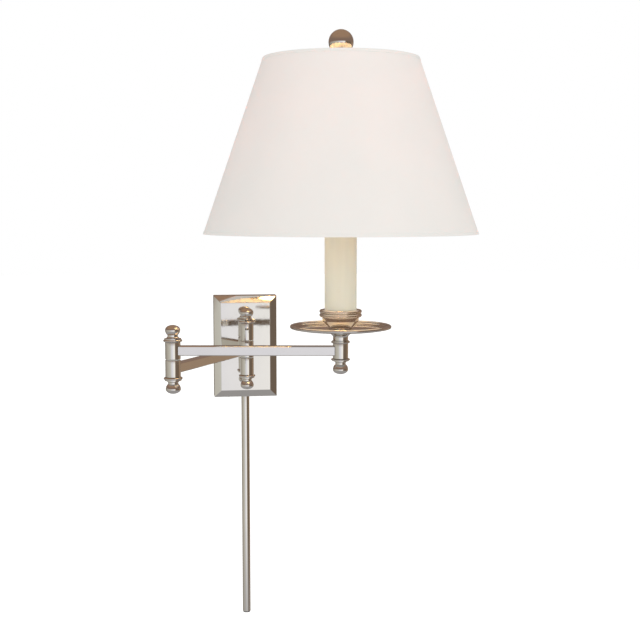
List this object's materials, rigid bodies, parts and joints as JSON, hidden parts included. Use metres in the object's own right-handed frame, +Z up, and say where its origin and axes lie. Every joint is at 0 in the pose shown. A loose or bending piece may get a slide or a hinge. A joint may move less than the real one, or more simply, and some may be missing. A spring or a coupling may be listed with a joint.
{
  "type": "swing arm wall sconce",
  "caption": "Wall sconce with a bevelled backplate, jointed swing arms, a candle in a drip dish, a tapered paper shade with a ball finial, and a tube that covers the cord.",
  "frame": {"origin": "on the wall plane at the centre of the backplate", "axes": "+Z up, +Y into the wall, +X to the right along the wall; the lamp stands in front of the wall at negative Y"},
  "size_m": [0.3714, 0.411, 0.7755],
  "materials": {
    "polished_nickel": "polished nickel plate on brass",
    "zinc_steel": "zinc-plated steel",
    "brass": "turned or pressed brass",
    "orange_plastic": "moulded plastic",
    "lead_insulation": "extruded insulation",
    "green_steel": "green passivated steel",
    "black_rubber": "matt moulded rubber",
    "nylon": "natural nylon",
    "ivory_card": "satin ivory tube",
    "black_phenolic": "black phenolic",
    "bulb_cap": "pressed screw cap",
    "frosted_glass": "soft white frosted glass",
    "shade_paper": "smooth white laminated paper",
    "white_wire": "white-coated wire"
  },
  "bodies": {
    "wall_mount": {"mounting_bracket": "zinc_steel", "backplate": "polished_nickel", "backplate_screw_left": "polished_nickel", "backplate_screw_right": "polished_nickel", "wall_yoke": "polished_nickel", "yoke_nipple": "zinc_steel", "nipple_washer": "zinc_steel", "nipple_nut": "brass", "wire_connector_left": "orange_plastic", "wire_connector_right": "orange_plastic", "neutral_lead": "lead_insulation", "live_lead": "lead_insulation", "ground_screw": "green_steel", "cord_cover_tube": "polished_nickel", "cover_locknut": "brass", "cover_bushing": "black_rubber", "wall_pin": "zinc_steel", "wall_upper_washer": "nylon", "wall_lower_washer": "nylon", "wall_top_collar": "polished_nickel", "wall_bottom_collar": "polished_nickel", "wall_top_finial": "polished_nickel", "wall_bottom_finial": "polished_nickel"},
    "lower_arm": {"wall_middle_knuckle": "polished_nickel", "lower_arm_bar": "polished_nickel", "lower_arm_lead": "lead_insulation", "elbow_lower_knuckle": "polished_nickel", "elbow_washer": "nylon", "elbow_bottom_collar": "polished_nickel", "elbow_top_collar": "polished_nickel", "elbow_bottom_finial": "polished_nickel", "elbow_top_finial": "polished_nickel", "elbow_pin": "zinc_steel"},
    "upper_arm": {"elbow_upper_knuckle": "polished_nickel", "upper_arm_bar": "polished_nickel", "upper_arm_lead": "lead_insulation", "candle_knuckle": "polished_nickel"},
    "lamp_head": {"riser_tube": "zinc_steel", "head_lead": "lead_insulation", "head_bottom_collar": "polished_nickel", "head_top_collar": "polished_nickel", "head_finial": "polished_nickel", "dish_stem": "polished_nickel", "drip_dish": "polished_nickel", "candle_cup": "polished_nickel", "candle_sleeve": "ivory_card", "harp_saddle": "brass", "harp": "brass", "socket_cap": "brass", "socket_shell": "brass", "socket_base": "black_phenolic", "socket_screw_shell": "brass", "socket_contact": "brass", "bulb_base": "bulb_cap", "bulb_glass": "frosted_glass", "harp_stud": "brass", "shade_spider": "polished_nickel", "shade": "shade_paper", "ball_finial": "polished_nickel", "shade_bottom_ring": "white_wire"}
  },
  "joints": [
    {"name": "wall_swivel", "type": "hinge", "parent": "wall_mount", "child": "lower_arm", "pos_m": [0, -0.048, 0], "axis": [0, 0, 1], "range_deg": [-60, 120]},
    {"name": "elbow_swivel", "type": "hinge", "parent": "lower_arm", "child": "upper_arm", "pos_m": [-0.1, -0.22121, 0.0098], "axis": [0, 0, 1], "range_deg": [-247, 23]},
    {"name": "head_swivel", "type": "hinge", "parent": "upper_arm", "child": "lamp_head", "pos_m": [0.09805, -0.24904, 0.0206], "axis": [0, 0, 1], "range_deg": [-170, 170]}
  ]
}
